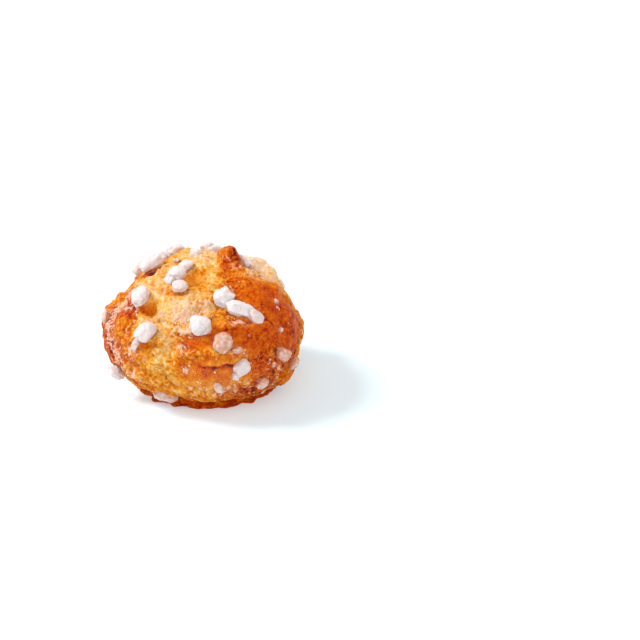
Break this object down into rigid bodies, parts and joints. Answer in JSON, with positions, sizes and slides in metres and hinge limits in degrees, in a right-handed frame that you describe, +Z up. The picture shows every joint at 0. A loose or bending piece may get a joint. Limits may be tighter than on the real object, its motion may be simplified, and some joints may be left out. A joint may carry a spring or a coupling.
{
  "type": "chouquette",
  "caption": "Small round choux puff with a pinched tip, a torn, crinkled golden crust and pearl sugar fused to it, standing on a flat base.",
  "frame": {"origin": "middle of the flat base that the puff stands on", "axes": "+Z up through the puff; -Y towards the shown side; +X to that side's right, where the tip leans off the middle"},
  "size_m": [0.0498, 0.0501, 0.0364],
  "materials": {
    "crust": "baked choux crust: satin and orange-brown on the smooth lobes, rough and pale yellow where the skin tore, dark red-brown at the tip and under the ledge",
    "pearl_sugar": "pearl sugar: white, matt and slightly see-through lumps of pressed sugar crystals"
  },
  "bodies": {
    "root": {"chouquette": "crust"}
  },
  "joints": []
}
